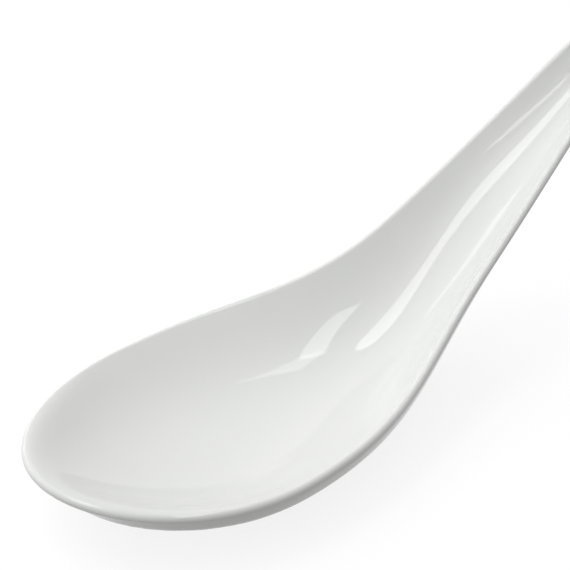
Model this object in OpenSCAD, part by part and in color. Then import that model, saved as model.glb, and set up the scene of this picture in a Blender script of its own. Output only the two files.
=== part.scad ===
// Chinese soup spoon of white glazed porcelain.
// A boat-shaped bowl stands on a flat foot, and its lip runs up into a channelled handle.
// X runs from the tip of the bowl to the end of the handle. Z = 0 is the table, and the
// origin is the middle of the foot.
// All faces are offsets of one middle surface. Its outline, its lip line and its keel line
// are smooth functions of x, the distance from the tip.

/* [Outline] */
// Length over the table from the tip of the bowl to the end of the handle
spoon_len = 118; // [100:1:140]
// Width of the bowl at its widest place, in the middle of the wall
bowl_w = 43; // [36:0.5:50]
// Distance from the tip to the widest place
widest_x = 28.5; // [24:0.5:36]
// Share by which the tip is drawn in from a plain ellipse
tip_draw_share = 0.06; // [0:0.01:0.15]
// Distance from the tip to the neck, where the bowl has become the handle
neck_x = 77.5; // [70:0.5:90]
// Width of the handle at the neck
neck_w = 20.5; // [14:0.5:26]
// Width that the handle tapers to at its end
end_w = 8; // [6:0.5:16]
// Length over which the end of the handle is rounded off
end_round = 10; // [5:0.5:16]

/* [Lip line] */
// Rise of the handle above the level, in degrees
handle_angle = 34.3; // [24:0.1:42]
// Distance from the tip to the knee, where the lip turns up into the handle
knee_x = 61; // [50:1:68]
// Length over which the knee is softened
knee_soft = 16.5; // [8:0.5:30]
// Height that the tip is lifted above the level part of the lip
tip_lift = 2.7; // [0:0.1:5]
// Distance from the tip over which that lift dies out
tip_lift_x = 40; // [25:1:50]

/* [Keel line] */
// Depth of the bowl below the level part of the lip
bowl_depth = 6.4; // [5:0.1:12]
// Depth of the finger channel below the lip of the handle
channel_depth = 4.3; // [3:0.1:7]
// Distance from the tip to where the keel has become level
keel_x = 42; // [32:1:46]
// Distance from the tip to where the back wall of the bowl begins to rise
back_x = 39; // [36:0.5:50]
// Distance from the tip to where the back wall has become the channel
channel_x = 96; // [84:1:100]
// Share of the cross-section that is square rather than parabolic
square_share = 0.48; // [0:0.01:0.6]
// Share of its depth by which the section flares out under the lip
flare_share = 0.17; // [0:0.01:0.25]

/* [Wall] */
// Thickness of the lip, glaze included
lip_t = 1.4; // [1.2:0.1:3]
// Thickness that the wall gains towards its middle
wall_swell = 0.4; // [0:0.1:1.2]
// Thickness that the sides of the bowl gain just under the lip
side_swell = 1.2; // [0:0.1:1.8]
// Thickness of the glaze
glaze_t = 0.25; // [0.15:0.01:0.4]

/* [Foot] */
// Distance from the tip to the middle of the foot
foot_x = 41; // [36:0.5:46]
// Distance over which the floor's thickening dies out, before and behind that middle
foot_reach = 42; // [30:1:44]
// Thickness that the floor gains over the foot
foot_swell = 0.8; // [0.6:0.1:3]
// Depth that is ground off the underside to make the flat foot
foot_cut = 0.9; // [0.5:0.1:1.1]
// Height of the bare clay that shows between the table and the glaze
foot_bare = 0.4; // [0.2:0.05:0.6]

/* [Hidden] */

// Counts of facets along the spoon, across it and round its lip
along = 56;
across = 16;
lip_steps = 6;
ring_size = 2 * across + 2 * lip_steps;

// Powers of the curves that close the handle's end and the keel's front
end_power = 2.5;
keel_power = 3;
// Powers of the curves that flare the section and thicken its sides, the higher the nearer the lip
flare_power = 8;
side_power = 12;

// The end rings stand this share of the length inside the tip and the end
sliver_share = 0.0000001;
// Share of the length, and of the half width, over which a slope is measured
step_share = 0.00000001;
run_x = spoon_len * step_share;
run_t = 0.000001;

// Runs smoothly from 0 to 1 while u does
function soft_step(u) =
    let (v = min(max(u, 0), 1))
    v * v * v * (10 - 15 * v + 6 * v * v);

// A line that is level before a soft knee and climbs one in one after it
function bend(d) = (d + sqrt(d * d + knee_soft * knee_soft)) / 2;

// How far x has gone into the tip, the keel's front and the handle's end, from 0 to 1
function into_tip(x) = max(1 - x / widest_x, 0);
function into_front(x) = max(1 - x / keel_x, 0);
function into_end(x) = max(1 - (spoon_len - x) / end_round, 0);

// Full width before the tip and the end are rounded off
function taper_w(x) = neck_w + (end_w - neck_w) * (x - neck_x) / (spoon_len - neck_x);
function side_w(x) =
    let (u = min(max((x - widest_x) / (neck_x - widest_x), 0), 1))
    taper_w(x) + (bowl_w - taper_w(x)) * pow(1 - u * u, 3);

// Half width of the outline
function half_w(x) =
    let (a = into_tip(x), b = into_end(x))
    side_w(x) / 2 * sqrt(1 - a * a) * (1 - tip_draw_share * a * a) * sqrt(1 - pow(b, end_power));

// Height of the lip above its level part
function handle_rise(x) = tan(handle_angle) * (bend(x - knee_x) - bend(-knee_x));
function lip_z(x) = handle_rise(x) + tip_lift * pow(max(1 - x / tip_lift_x, 0), 3);

// Runs from 0 in the bowl to 1 in the channel
function to_channel(x) = soft_step((x - back_x) / (channel_x - back_x));

// Depth of the middle surface below the lip, on the keel
function closing(x) = (1 - pow(into_front(x), keel_power)) * (1 - pow(into_end(x), end_power));
function depth(x) =
    let (s = to_channel(x))
    ((bowl_depth + handle_rise(x)) * (1 - s) + channel_depth * s) * closing(x);

// Height of the middle surface, where t runs from -1 on one lip to 1 on the other
function bowed(x, t) =
    let (t2 = t * t)
    t2 - square_share * closing(x) * (t2 - t2 * t2);
function section(x, t) = (1 + flare_share) * bowed(x, t) - flare_share * pow(t, flare_power);
function mid_z(x, t) = lip_z(x) - depth(x) * (1 - section(x, t));

// Slopes of the outline and of the lip
function half_w_slope(x) = (half_w(x + run_x) - half_w(x - run_x)) / (2 * run_x);
function lip_slope(x) = (lip_z(x + run_x) - lip_z(x - run_x)) / (2 * run_x);

function unit(v) = v / norm(v);

// Direction square to the middle surface, pointing up into the bowl
function up(x, t) =
    let (
        z_x = (mid_z(x + run_x, t) - mid_z(x - run_x, t)) / (2 * run_x),
        z_t = (mid_z(x, t + run_t) - mid_z(x, t - run_t)) / (2 * run_t),
        z_y = z_t / half_w(x)
    )
    unit([z_y * t * half_w_slope(x) - z_x, -z_y, 1]);

// Direction that leaves the wall over the lip on the side t = 1 or t = -1
function over_lip(x, t) = cross(unit([t, half_w_slope(x), t * lip_slope(x)]), -up(x, t));

function middle(x, t) = [x, t * half_w(x), mid_z(x, t)];

// Thickness that the underside gains over the foot, in the wall and at the sides of the bowl
function foot_gain(x, t) =
    let (u = min(abs(x - foot_x) / foot_reach, 1))
    foot_swell * (1 - t * t) * pow(1 - pow(u, 4), 2);
function wall_gain(x, t) = wall_swell * (1 - pow(t, 4)) * closing(x);
function side_gain(x, t) =
    side_swell * (1 - pow(t, side_power)) * closing(x) * (1 - to_channel(x));
function swell(x, t) = foot_gain(x, t) + wall_gain(x, t) + side_gain(x, t);

// Points of the faces that lie inset inside the glazed faces
function inner_point(x, t, inset) = middle(x, t) + (lip_t / 2 - inset) * up(x, t);
function under_point(x, t, inset) = middle(x, t) - (lip_t / 2 + swell(x, t) - inset) * up(x, t);
function lip_point(x, t, angle, inset) =
    middle(x, t) + (lip_t / 2 - inset) * (cos(angle) * up(x, t) + sin(angle) * over_lip(x, t));

// Distance from the tip of each ring, closest together at the two ends
function ring_x(i) =
    spoon_len * min(max((1 - cos(180 * i / along)) / 2, sliver_share), 1 - sliver_share);
function share_t(j) = -cos(180 * j / across);

// One closed ring: the inner face, one lip, the underside and the other lip
function ring(x, inset) = [
    for (j = [0 : across]) inner_point(x, share_t(j), inset),
    for (k = [1 : lip_steps - 1]) lip_point(x, 1, 180 * k / lip_steps, inset),
    for (j = [0 : across]) under_point(x, -share_t(j), inset),
    for (k = [1 : lip_steps - 1]) lip_point(x, -1, 180 - 180 * k / lip_steps, inset)
];

// The rings at the tip and the end shrink onto the line of symmetry
function is_end(i) = i == 0 || i == along;
function on_axis(p) = [p.x, 0, p.z];
function skin_points(inset) = [
    for (i = [0 : along])
        for (p = ring(ring_x(i), inset)) is_end(i) ? on_axis(p) : p
];

// Place of a point in the list, where the points that meet in an end ring count as one
function welded(j) =
    j <= across ? across
    : j < across + lip_steps ? j
    : j <= 2 * across + lip_steps ? across + lip_steps
    : 3 * across + 2 * lip_steps - j;
function place(i, j) =
    let (k = j % ring_size)
    i * ring_size + (is_end(i) ? welded(k) : k);

skin_quads = [
    for (i = [0 : along - 1])
        for (j = [0 : ring_size - 1])
            [place(i, j), place(i, j + 1), place(i + 1, j + 1), place(i + 1, j)]
];
skin_faces = [
    for (q = skin_quads)
        for (f = [[q[0], q[1], q[2]], [q[0], q[2], q[3]]])
            if (f[0] != f[1] && f[1] != f[2] && f[2] != f[0]) f
];

// Height that stands the spoon's ground foot on the table
lowest = min([for (i = [0 : along]) under_point(ring_x(i), 0, glaze_t).z]);
lift = -lowest - foot_cut;

// The whole spoon as one closed skin
module blank(inset) {
    translate([-foot_x, 0, lift])
        polyhedron(points = skin_points(inset), faces = skin_faces, convexity = 6);
}

// All that lies lower than a height
module below(z) {
    translate([-spoon_len, -bowl_w, z - spoon_len])
        cube([3 * spoon_len, 2 * bowl_w, spoon_len]);
}

// The fired clay, ground flat under the bowl
module porcelain_body() {
    color("ivory")
        difference() {
            blank(glaze_t);
            below(0);
        }
}

// The glass skin over all of the clay but its foot
module glaze_coat() {
    color("white")
        difference() {
            blank(0);
            blank(glaze_t);
            below(foot_bare);
        }
}

porcelain_body();
glaze_coat();
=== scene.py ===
"""Chinese soup spoon in white glazed porcelain, on a pale floor in soft studio light.

The bowl, lip and handle are offsets of one smooth middle surface. X runs from the tip of the
bowl to the end of the handle, and the origin is the middle of the foot, on the table.
"""
from math import cos, pi, radians, sin, tan

import bmesh
import bpy
import numpy as np
from mathutils import Matrix, Quaternion, Vector


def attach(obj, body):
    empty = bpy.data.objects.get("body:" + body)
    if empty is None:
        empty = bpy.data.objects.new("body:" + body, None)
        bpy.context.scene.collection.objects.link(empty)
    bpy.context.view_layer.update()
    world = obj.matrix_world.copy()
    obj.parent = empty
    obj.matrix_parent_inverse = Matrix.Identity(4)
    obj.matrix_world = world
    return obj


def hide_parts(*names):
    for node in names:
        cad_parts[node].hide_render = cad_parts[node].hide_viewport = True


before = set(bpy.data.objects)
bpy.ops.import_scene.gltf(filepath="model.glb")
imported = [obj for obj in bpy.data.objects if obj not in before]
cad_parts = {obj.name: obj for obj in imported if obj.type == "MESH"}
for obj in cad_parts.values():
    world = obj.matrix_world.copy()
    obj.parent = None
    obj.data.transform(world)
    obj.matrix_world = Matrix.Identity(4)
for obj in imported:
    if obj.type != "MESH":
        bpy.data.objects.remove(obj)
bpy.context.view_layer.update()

MM = 0.001

# Outline, in millimetres
SPOON_LEN = 118.0
BOWL_W = 43.0
WIDEST_X = 28.5
TIP_DRAW_SHARE = 0.06
NECK_X = 77.5
NECK_W = 20.5
END_W = 8.0
END_ROUND = 10.0

# Lip line
HANDLE_RISE = tan(radians(34.3))
KNEE_X = 61.0
KNEE_SOFT = 16.5
TIP_LIFT = 2.7
TIP_LIFT_X = 40.0

# Keel line
BOWL_DEPTH = 6.4
CHANNEL_DEPTH = 4.3
KEEL_X = 42.0
BACK_X = 39.0
CHANNEL_X = 96.0
SQUARE_SHARE = 0.48
FLARE_SHARE = 0.17

# Wall and foot
LIP_T = 1.4
WALL_SWELL = 0.4
SIDE_SWELL = 1.2
GLAZE_T = 0.25
FOOT_X = 41.0
FOOT_REACH = 42.0
FOOT_SWELL = 0.8
FOOT_CUT = 0.9
FOOT_BARE = 0.4

# The slab-like rim below the lip: its thickness, the gap from the lip over which it is gained,
# and where along the spoon it fades out
RIM_SWELL = 1.15
RIM_RUN = 2.0
RIM_FROM_X = 24.0
RIM_FADE = 70.0
# The soft inner edge at the tip: its height, the gap from the lip where it is highest, where along
# the spoon it ends, and how many times faster than over all that length it fades out
EDGE_RISE = 0.3
EDGE_RUN = 2.2
EDGE_END_X = 28.5
EDGE_FADE_RATE = 1.3
# Gap from the lip over which the faces lean out to meet the lip's round
LEAN_FADE = 3.0

# Powers of the curves that narrow the bowl to the handle and lift the lip at the tip
TAPER_POWER = 3
TIP_POWER = 3
# Powers of the curves that close the handle's end and the keel's front
END_POWER = 2.5
KEEL_POWER = 3
# Power of the curve that flares the section, the higher the nearer the lip
FLARE_POWER = 8
# Power of the curves that even out the swells of the wall and the foot
SWELL_POWER = 4
# Powers of the curves that bend the rim into the wall and close it at the tip
RIM_POWER = 1.2
RIM_TIP_POWER = 24

# Faces along the spoon, across it and round its lip
ALONG = 240
ACROSS = 64
LIP_STEPS = 12
RING_SIZE = 2 * ACROSS + 2 * LIP_STEPS

# Where the end rings stand, as a share of the length
SLIVER = 1e-7
# The runs over which slopes are measured, and how far inside the lip its leaving angles are
RUN_X = SPOON_LEN * 1e-8
RUN_T = 1e-6
BESIDE_T = 1e-4

# Edges that turn by more than this stay sharp
CREASE_ANGLE = radians(35)

# Side of the square picture in pixels
PICTURE_SIDE = 570
# Very slightly cool daylight
LAMP_WHITE = (0.98, 0.995, 1.0)


def soft_step(u):
    """Runs smoothly from 0 to 1 while u does."""
    v = np.clip(u, 0, 1)
    return v ** 3 * (10 - 15 * v + 6 * v * v)


def bend(d):
    """A line that is level before a soft knee and climbs one in one after it."""
    return (d + np.sqrt(d * d + KNEE_SOFT ** 2)) / 2


def half_w(x):
    """Half width of the outline."""
    taper = NECK_W + (END_W - NECK_W) * (x - NECK_X) / (SPOON_LEN - NECK_X)
    u = np.clip((x - WIDEST_X) / (NECK_X - WIDEST_X), 0, 1)
    side = taper + (BOWL_W - taper) * (1 - u * u) ** TAPER_POWER
    a = np.maximum(1 - x / WIDEST_X, 0)
    b = np.maximum(1 - (SPOON_LEN - x) / END_ROUND, 0)
    tip = np.sqrt(1 - a * a) * (1 - TIP_DRAW_SHARE * a * a)
    return side / 2 * tip * np.sqrt(1 - b ** END_POWER)


def handle_rise(x):
    """Height that the lip gains from the knee on."""
    return HANDLE_RISE * (bend(x - KNEE_X) - bend(-KNEE_X))


def lip_z(x):
    """Height of the lip above its level part."""
    return handle_rise(x) + TIP_LIFT * np.maximum(1 - x / TIP_LIFT_X, 0) ** TIP_POWER


def to_channel(x):
    """Runs from 0 in the bowl to 1 in the channel."""
    return soft_step((x - BACK_X) / (CHANNEL_X - BACK_X))


def closing(x):
    """Closes the hollow at the tip and at the handle's end."""
    front = np.maximum(1 - x / KEEL_X, 0)
    end = np.maximum(1 - (SPOON_LEN - x) / END_ROUND, 0)
    return (1 - front ** KEEL_POWER) * (1 - end ** END_POWER)


def depth(x):
    """Depth of the keel below the lip."""
    s = to_channel(x)
    return ((BOWL_DEPTH + handle_rise(x)) * (1 - s) + CHANNEL_DEPTH * s) * closing(x)


def mid_z(x, t):
    """Height of the middle surface, where t runs from -1 on one lip to 1 on the other."""
    t2 = t * t
    bowed = t2 - SQUARE_SHARE * closing(x) * (t2 - t2 * t2)
    section = (1 + FLARE_SHARE) * bowed - FLARE_SHARE * t ** FLARE_POWER
    return lip_z(x) - depth(x) * (1 - section)


def unit(v):
    """Vectors brought to length one."""
    return v / np.linalg.norm(v, axis=-1, keepdims=True)


def half_w_slope(x):
    """Slope of the outline over the table."""
    return (half_w(x + RUN_X) - half_w(x - RUN_X)) / (2 * RUN_X)


def up(x, t):
    """Direction square to the middle surface, pointing up into the bowl."""
    z_x = (mid_z(x + RUN_X, t) - mid_z(x - RUN_X, t)) / (2 * RUN_X)
    z_t = (mid_z(x, t + RUN_T) - mid_z(x, t - RUN_T)) / (2 * RUN_T)
    z_y = z_t / half_w(x)
    return unit(np.stack([z_y * t * half_w_slope(x) - z_x, -z_y, np.ones_like(z_x)], -1))


def over_lip(x, t):
    """Direction that leaves the wall over the lip."""
    lip_slope = (lip_z(x + RUN_X) - lip_z(x - RUN_X)) / (2 * RUN_X)
    along = unit(np.stack([t, half_w_slope(x), t * lip_slope], -1))
    return np.cross(along, -up(x, t))


def lip_gap(x, t):
    """Distance over the table from the nearest lip."""
    return half_w(x) * (1 - t * t) / (2 * np.sqrt(half_w_slope(x) ** 2 + t * t) + SLIVER)


def side_swell(x, t):
    """Thickness that the wall gains on the outside, in the rim below the lip and towards the keel."""
    flat = 1 - np.maximum(1 - lip_gap(x, t) / RIM_RUN, 0) ** RIM_POWER
    front = np.maximum(1 - x / KEEL_X, 0)
    rim = RIM_SWELL * (1 - front ** RIM_TIP_POWER) * (1 - soft_step((x - RIM_FROM_X) / RIM_FADE))
    keel = SIDE_SWELL * closing(x) * (1 - to_channel(x))
    wall = WALL_SWELL * closing(x)
    return rim * flat + (keel - rim) * (1 - t * t) + wall * (1 - t ** SWELL_POWER)


def foot_swell(x, t):
    """Thickness that the floor gains over the foot."""
    u = np.minimum(np.abs(x - FOOT_X) / FOOT_REACH, 1)
    return FOOT_SWELL * (1 - t * t) * (1 - u ** SWELL_POWER) ** 2


def edge_rise(x, t):
    """Thickness that the inner face gains beside the lip at the tip, so that it rounds over softly."""
    gap = lip_gap(x, t) / EDGE_RUN
    return EDGE_RISE * gap * np.exp(1 - gap) * soft_step(EDGE_FADE_RATE * (1 - x / EDGE_END_X))


def leaving_angle(gain, x):
    """Angle at which a face that gains thickness leaves the lip."""
    beside = np.full_like(x, 1 - BESIDE_T)
    return np.arctan(gain(x, beside) / lip_gap(x, beside))


def ring_grid():
    """Four grids: x, t, the turn from the inner to the outer face, 0 to 1, and 1 on the lip's round."""
    x = SPOON_LEN * np.clip((1 - np.cos(pi * np.arange(ALONG + 1) / ALONG)) / 2, SLIVER, 1 - SLIVER)
    across = -np.cos(pi * np.arange(ACROSS + 1) / ACROSS)
    lip = np.arange(LIP_STEPS - 1) / (LIP_STEPS - 2)
    t = np.concatenate([across, np.ones_like(lip), -across, -np.ones_like(lip)])
    turn = np.concatenate([np.zeros_like(across), lip, np.ones_like(across), 1 - lip])
    on_lip = np.concatenate([np.zeros_like(across), np.ones_like(lip)] * 2)
    return np.broadcast_arrays(x[:, None], t, turn, on_lip)


def skin_points(inset):
    """Points of the closed skin that lies inset inside the glazed faces, in the tip's own frame."""
    x, t, turn, on_lip = ring_grid()
    middle = np.stack([x, t * half_w(x), mid_z(x, t)], -1)
    reach = LIP_T / 2 - inset
    lean_in, lean_out = leaving_angle(edge_rise, x), leaving_angle(side_swell, x)
    fade = np.exp(-(lip_gap(x, t) / LEAN_FADE) ** 2)
    over = reach * (1 + (1 / np.cos(lean_in) - 1) * fade) + edge_rise(x, t)
    under = (reach * (1 + (1 / np.cos(lean_out) - 1) * fade)
             + side_swell(x, t) + foot_swell(x, t))
    angle = lean_in + (pi - lean_in - lean_out) * turn
    height = np.where(on_lip == 1, reach * np.cos(angle), np.where(turn == 0, over, -under))
    outward = reach * np.sin(angle) * on_lip
    points = (middle + height[..., None] * up(x, t)
              + outward[..., None] * over_lip(x, np.where(t < 0, -1.0, 1.0)))
    points[0, :, 1] = 0
    points[-1, :, 1] = 0
    return points


def welded(j):
    """Place in an end ring of a point that meets others there."""
    if j <= ACROSS:
        return ACROSS
    if j < ACROSS + LIP_STEPS:
        return j
    if j <= 2 * ACROSS + LIP_STEPS:
        return ACROSS + LIP_STEPS
    return 3 * ACROSS + 2 * LIP_STEPS - j


def place(i, j):
    """Place of a ring's point in the list of all points."""
    k = j % RING_SIZE
    return i * RING_SIZE + (welded(k) if i in (0, ALONG) else k)


def skin_faces():
    """Corners of every face, with those that meet at the two ends counted once."""
    faces = []
    for i in range(ALONG):
        for j in range(RING_SIZE):
            quad = [place(i, j), place(i + 1, j), place(i + 1, j + 1), place(i, j + 1)]
            corners = list(dict.fromkeys(quad))
            if len(corners) > 2:
                faces.append(corners)
    return faces


FACES = skin_faces()
LOWEST = skin_points(GLAZE_T)[..., 2].min()
LIFT = -LOWEST - FOOT_CUT


def to_row(points):
    """From the tip's own frame in millimetres to the row's frame in metres."""
    return (points + np.array([-FOOT_X, 0, LIFT])) * MM


def skin(inset):
    """A bmesh of one closed skin."""
    shell = bmesh.new()
    verts = [shell.verts.new(p) for p in to_row(skin_points(inset)).reshape(-1, 3)]
    for corners in FACES:
        shell.faces.new([verts[k] for k in corners])
    loose = [v for v in shell.verts if not v.link_faces]
    bmesh.ops.delete(shell, geom=loose, context="VERTS")
    return shell


def cut_below(shell, z):
    """Cuts away what lies under a height and returns the edges of the hole."""
    geom = shell.verts[:] + shell.edges[:] + shell.faces[:]
    bmesh.ops.bisect_plane(shell, geom=geom, plane_co=(0, 0, z), plane_no=(0, 0, 1), clear_inner=True)
    return [e for e in shell.edges if e.is_boundary]


def finish_piece(shell, name, node):
    """Makes the piece, smooth but for its ground or melted edge."""
    bmesh.ops.recalc_face_normals(shell, faces=shell.faces[:])
    for face in shell.faces:
        face.smooth = True
    for edge in shell.edges:
        if edge.calc_face_angle(0) > CREASE_ANGLE:
            edge.smooth = False
    mesh = bpy.data.meshes.new(name)
    shell.to_mesh(mesh)
    shell.free()
    piece = bpy.data.objects.new(name, mesh)
    bpy.context.collection.objects.link(piece)
    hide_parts(node)
    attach(piece, "root")
    return piece


def make_clay():
    """The fired clay, ground flat under the bowl."""
    shell = skin(GLAZE_T)
    bmesh.ops.holes_fill(shell, edges=cut_below(shell, 0), sides=0)
    return finish_piece(shell, "clay", "porcelain_body")


def make_glaze():
    """The glass over the clay: an outer and an inner skin, joined round the foot."""
    outer = skin(0)
    cut_below(outer, FOOT_BARE * MM)
    inner = skin(GLAZE_T)
    cut_below(inner, FOOT_BARE * MM)
    bmesh.ops.reverse_faces(inner, faces=inner.faces[:])
    scratch = bpy.data.meshes.new("inner_skin")
    inner.to_mesh(scratch)
    inner.free()
    outer.from_mesh(scratch)
    bpy.data.meshes.remove(scratch)
    bmesh.ops.bridge_loops(outer, edges=[e for e in outer.edges if e.is_boundary])
    return finish_piece(outer, "glaze", "glaze_coat")


def material(name, base, roughness):
    """A new node material and its main shader, with the plain look that its nodes vary."""
    mat = bpy.data.materials.new(name)
    mat.use_nodes = True
    shader = mat.node_tree.nodes["Principled BSDF"]
    shader.inputs["Base Color"].default_value = (*base, 1)
    shader.inputs["Roughness"].default_value = roughness
    return mat, shader


def noise(tree, scale, detail=3.0, rough=0.5):
    """Noise in the row's own frame, scale in waves per metre."""
    coords = tree.nodes.new("ShaderNodeTexCoord")
    node = tree.nodes.new("ShaderNodeTexNoise")
    node.inputs["Scale"].default_value = scale
    node.inputs["Detail"].default_value = detail
    node.inputs["Roughness"].default_value = rough
    tree.links.new(coords.outputs["Object"], node.inputs["Vector"])
    return node.outputs["Fac"]


def ramp(tree, source, stops):
    """Colours by the value of a source, between two stops."""
    node = tree.nodes.new("ShaderNodeValToRGB")
    for element, (position, colour) in zip(node.color_ramp.elements, stops):
        element.position = position
        element.color = (*colour, 1)
    tree.links.new(source, node.inputs["Fac"])
    return node.outputs["Color"]


def bump(tree, shader, source, distance):
    """Raises the surface by a source's value, distance in metres."""
    node = tree.nodes.new("ShaderNodeBump")
    node.inputs["Strength"].default_value = 1
    node.inputs["Distance"].default_value = distance
    tree.links.new(source, node.inputs["Height"])
    tree.links.new(node.outputs["Normal"], shader.inputs["Normal"])


def glaze_material():
    """Clear gloss over white porcelain, faintly uneven in shade, gloss and height."""
    mat, shader = material("glazed porcelain", (0.8, 0.8, 0.78), 0.08)
    tree = mat.node_tree
    shader.inputs["IOR"].default_value = 1.52
    shade = ramp(tree, noise(tree, scale=30), [(0.3, (0.79, 0.795, 0.77)), (0.7, (0.82, 0.82, 0.8))])
    tree.links.new(shade, shader.inputs["Base Color"])
    gloss = ramp(tree, noise(tree, scale=900), [(0.3, (0.02,) * 3), (0.7, (0.035,) * 3)])
    tree.links.new(gloss, shader.inputs["Roughness"])
    bump(tree, shader, noise(tree, scale=120, detail=2.0), distance=0.00003)
    return mat


def clay_material():
    """Bare fired clay: matt, cream and finely grained."""
    mat, shader = material("bare porcelain", (0.72, 0.69, 0.62), 0.75)
    tree = mat.node_tree
    grain = noise(tree, scale=700, detail=6.0, rough=0.6)
    shade = ramp(tree, grain, [(0.35, (0.66, 0.63, 0.56)), (0.65, (0.76, 0.73, 0.67))])
    tree.links.new(shade, shader.inputs["Base Color"])
    bump(tree, shader, noise(tree, scale=2500, detail=6.0, rough=0.7), distance=0.00008)
    return mat


def area_light(name, azimuth, elevation, roll, distance, size, radiance, shape="RECTANGLE"):
    """A soft box that faces the foot: angles in degrees, distance and size in metres."""
    az, el = radians(azimuth), radians(elevation)
    away = Vector((cos(az) * cos(el), sin(az) * cos(el), sin(el)))
    lamp = bpy.data.lights.new(name, "AREA")
    lamp.shape = shape
    lamp.size, lamp.size_y = size
    lamp.color = LAMP_WHITE
    area = size[0] * size[1] * (pi / 4 if shape == "ELLIPSE" else 1)
    lamp.energy = radiance * pi * area
    box = bpy.data.objects.new(name, lamp)
    box.location = away * distance
    turn = away.to_track_quat("Z", "Y") @ Quaternion((0, 0, 1), radians(roll))
    box.rotation_euler = turn.to_euler()
    box.visible_camera = False
    bpy.context.collection.objects.link(box)
    return box


def camera_ray_mix(tree, seen, unseen, output):
    """One shader for what the camera, gloss and glass see, and one for diffuse light."""
    rays = tree.nodes.new("ShaderNodeLightPath")
    total = rays.outputs["Is Camera Ray"]
    for kind in ("Is Glossy Ray", "Is Transmission Ray"):
        add = tree.nodes.new("ShaderNodeMath")
        add.operation = "ADD"
        add.use_clamp = True
        tree.links.new(total, add.inputs[0])
        tree.links.new(rays.outputs[kind], add.inputs[1])
        total = add.outputs[0]
    mix = tree.nodes.new("ShaderNodeMixShader")
    tree.links.new(total, mix.inputs[0])
    tree.links.new(unseen, mix.inputs[1])
    tree.links.new(seen, mix.inputs[2])
    tree.links.new(mix.outputs[0], output)


def make_world(strength):
    """White where it is seen, and soft even light."""
    world = bpy.data.worlds.new("studio")
    bpy.context.scene.world = world
    world.use_nodes = True
    tree = world.node_tree
    seen = tree.nodes["Background"]
    seen.inputs["Color"].default_value = (1, 1, 1, 1)
    seen.inputs["Strength"].default_value = 1
    light = tree.nodes.new("ShaderNodeBackground")
    light.inputs["Color"].default_value = (1, 1, 1, 1)
    light.inputs["Strength"].default_value = strength
    camera_ray_mix(tree, seen.outputs[0], light.outputs[0],
                   tree.nodes["World Output"].inputs["Surface"])


def make_floor(side, bounce, shadow, glow):
    """A white floor at the foot: what it bounces, the depth of its seen shadow and its seen glow."""
    bpy.ops.mesh.primitive_plane_add(size=side)
    floor = bpy.context.object
    floor.name = "floor"
    mat = bpy.data.materials.new("floor")
    mat.use_nodes = True
    tree = mat.node_tree
    tree.nodes.remove(tree.nodes["Principled BSDF"])
    out = tree.nodes["Material Output"].inputs["Surface"]
    matt = tree.nodes.new("ShaderNodeBsdfDiffuse")
    matt.inputs["Color"].default_value = (bounce, bounce, bounce, 1)
    faint = tree.nodes.new("ShaderNodeBsdfDiffuse")
    faint.inputs["Color"].default_value = (shadow, shadow, shadow, 1)
    white = tree.nodes.new("ShaderNodeEmission")
    white.inputs["Strength"].default_value = glow
    both = tree.nodes.new("ShaderNodeAddShader")
    tree.links.new(faint.outputs[0], both.inputs[0])
    tree.links.new(white.outputs[0], both.inputs[1])
    camera_ray_mix(tree, both.outputs[0], matt.outputs[0], out)
    floor.data.materials.append(mat)


def make_camera():
    """The photograph's view, fitted to the spoon's outline in it."""
    azimuth, elevation = radians(41.56), radians(30.50)
    distance = 225.68
    pixels_per_mm = 5.903
    target = np.array([61.15, 21.0, 0])
    right = Vector((cos(azimuth), -sin(azimuth), 0))
    level = Vector((sin(azimuth), cos(azimuth), 0))
    forward = level * cos(elevation) - Vector((0, 0, 1)) * sin(elevation)
    over = right.cross(forward)
    lens = bpy.data.cameras.new("camera")
    lens.sensor_width = 36
    lens.lens = pixels_per_mm * distance / PICTURE_SIDE * lens.sensor_width
    camera = bpy.data.objects.new("camera", lens)
    camera.matrix_world = Matrix((right, over, -forward)).transposed().to_4x4()
    camera.location = Vector(to_row(target)) - forward * distance * MM
    bpy.context.collection.objects.link(camera)
    bpy.context.scene.camera = camera


glaze = make_glaze()
glaze.data.materials.append(glaze_material())
clay = make_clay()
clay.data.materials.append(clay_material())

make_floor(side=6, bounce=0.26, shadow=0.2, glow=0.84)
make_world(strength=0.4)
# Lamps: azimuth, elevation, roll, distance, size and radiance. The fills leave no highlight.
for lamp in (area_light("fill_back", 100, 40, 0, 1.2, (1.0, 0.8), 2.05),
             area_light("fill_side", 175, 35, 0, 1.2, (1.0, 0.8), 1.15)):
    lamp.visible_glossy = False
area_light("soft_box_over", 127.2, 69.8, 72.2, 1.43, (0.42, 1.2), 3.2, "ELLIPSE")
area_light("strip_front", -74.6, 75.5, -48.4, 2.98, (0.33, 2.91), 2.8)
area_light("strip_side", 25.4, 66.7, -68.0, 2.01, (0.58, 0.17), 1.75)
area_light("strip_back_low", 78.8, 16.3, -53.6, 1.4, (0.25, 1.14), 1.45)
make_camera()

view = bpy.context.scene.view_settings
view.view_transform = "Standard"
